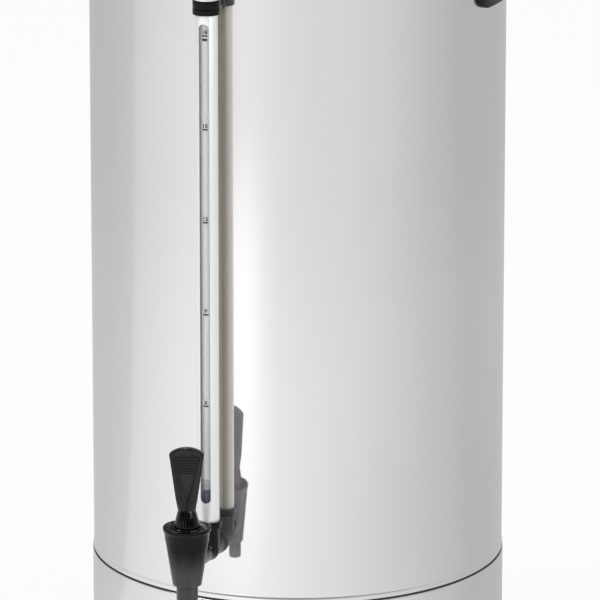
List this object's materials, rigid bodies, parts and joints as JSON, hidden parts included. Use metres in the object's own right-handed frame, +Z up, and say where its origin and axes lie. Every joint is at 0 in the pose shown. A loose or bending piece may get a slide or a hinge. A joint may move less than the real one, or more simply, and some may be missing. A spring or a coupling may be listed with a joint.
{
  "type": "hot water urn",
  "caption": "Free-standing electric hot water urn: polished double-walled steel body on a base band, lift-off lid, sight gauge column and a black lever tap.",
  "frame": {"origin": "on the axis of the body, at the level of the table under the foot ring", "axes": "+Z up along the axis of the body, the tap at the front towards -Y, the side handles towards -X and +X"},
  "size_m": [0.3642, 0.3389, 0.573],
  "materials": {
    "polished_steel": "polished stainless steel with a faint brushed blur",
    "tank_steel": "plain stainless steel",
    "black_plastic": "black heat-resistant moulded plastic with a soft sheen",
    "foot_rubber": "matt black moulded rubber",
    "satin_aluminium": "satin anodised aluminium tube",
    "gauge_glass": "clear glass tube with printed marks",
    "silicone": "pale translucent silicone",
    "float_blue": "dark blue float",
    "switch_red": "red translucent rocker",
    "lamp_amber": "amber lamp lens",
    "lamp_green": "green lamp lens",
    "element_steel": "heat-darkened steel rod",
    "brown_plastic": "brown phenolic",
    "ivory_plastic": "ivory insulator"
  },
  "bodies": {
    "urn": {"outer_body": "polished_steel", "inner_tank": "tank_steel", "base_band": "polished_steel", "bottom_plate": "tank_steel", "foot_ring": "foot_rubber", "support_posts": "tank_steel", "base_screws": "tank_steel", "handle_left": "black_plastic", "handle_right": "black_plastic", "handle_screws": "tank_steel", "guard_tube": "satin_aluminium", "gauge_glass": "gauge_glass", "gauge_sleeve": "silicone", "gauge_seal": "silicone", "gauge_head": "black_plastic", "gauge_cap": "satin_aluminium", "column_screw": "tank_steel", "tap_tee": "black_plastic", "shank": "tank_steel", "shank_gasket": "foot_rubber", "shank_spacer": "tank_steel", "tank_gasket": "silicone", "shank_nut": "tank_steel", "tap_body": "black_plastic", "tap_bonnet": "black_plastic", "tap_spring": "tank_steel", "switch_frame": "black_plastic", "heat_lamp": "lamp_amber", "ready_lamp": "lamp_green", "thermostat": "brown_plastic", "thermostat_nut": "tank_steel", "heating_element": "element_steel", "element_seals": "silicone", "element_nuts": "tank_steel", "thermal_cutout": "brown_plastic", "power_inlet": "black_plastic", "inlet_pins": "tank_steel", "terminal_block": "ivory_plastic", "tank_floor": "tank_steel", "tank_rim": "polished_steel", "seam_seal": "foot_rubber"},
    "lid_body": {"lid": "polished_steel", "lid_skirt": "polished_steel", "lid_knob": "black_plastic", "lid_screw": "tank_steel"},
    "lever": {"tap_lever": "black_plastic", "lever_pin": "tank_steel"},
    "stem": {"tap_stem": "tank_steel", "tap_seal": "silicone"},
    "dial": {"thermostat_knob": "black_plastic", "thermostat_shaft": "tank_steel"},
    "rocker": {"switch_rocker": "switch_red"},
    "float": {"gauge_float": "float_blue"}
  },
  "joints": [
    {"name": "lid_lift", "type": "slide", "parent": "urn", "child": "lid_body", "axis": [0, 0, 1], "range_m": [0, 0.15]},
    {"name": "lever_tilt", "type": "hinge", "parent": "urn", "child": "lever", "pos_m": [0.00286, -0.19285, 0.1535], "axis": [0.9397, 0.342, 0], "range_deg": [0, 20], "stiffness_Nm_per_rad": 0.4},
    {"name": "stem_lift", "type": "slide", "parent": "urn", "child": "stem", "axis": [0, 0, 1], "range_m": [0, 0.0029], "stiffness_N_per_m": 5, "springref_m": 0.0141, "deforming": ["tap_spring"]},
    {"name": "dial_turn", "type": "hinge", "parent": "urn", "child": "dial", "pos_m": [0.07391, -0.11381, 0.05], "axis": [-0.5446, 0.8387, 0], "range_deg": [0, 270]},
    {"name": "rocker_press", "type": "hinge", "parent": "urn", "child": "rocker", "pos_m": [0.01875, -0.13339, 0.05], "axis": [-0.9903, -0.1392, 0], "range_deg": [0, 14]},
    {"name": "float_rise", "type": "slide", "parent": "urn", "child": "float", "axis": [0, 0, 1], "range_m": [0, 0.29]}
  ],
  "couplings": [
    {"joint": "stem_lift", "follows": "lever_tilt", "m_per_rad": 0.007767}
  ]
}
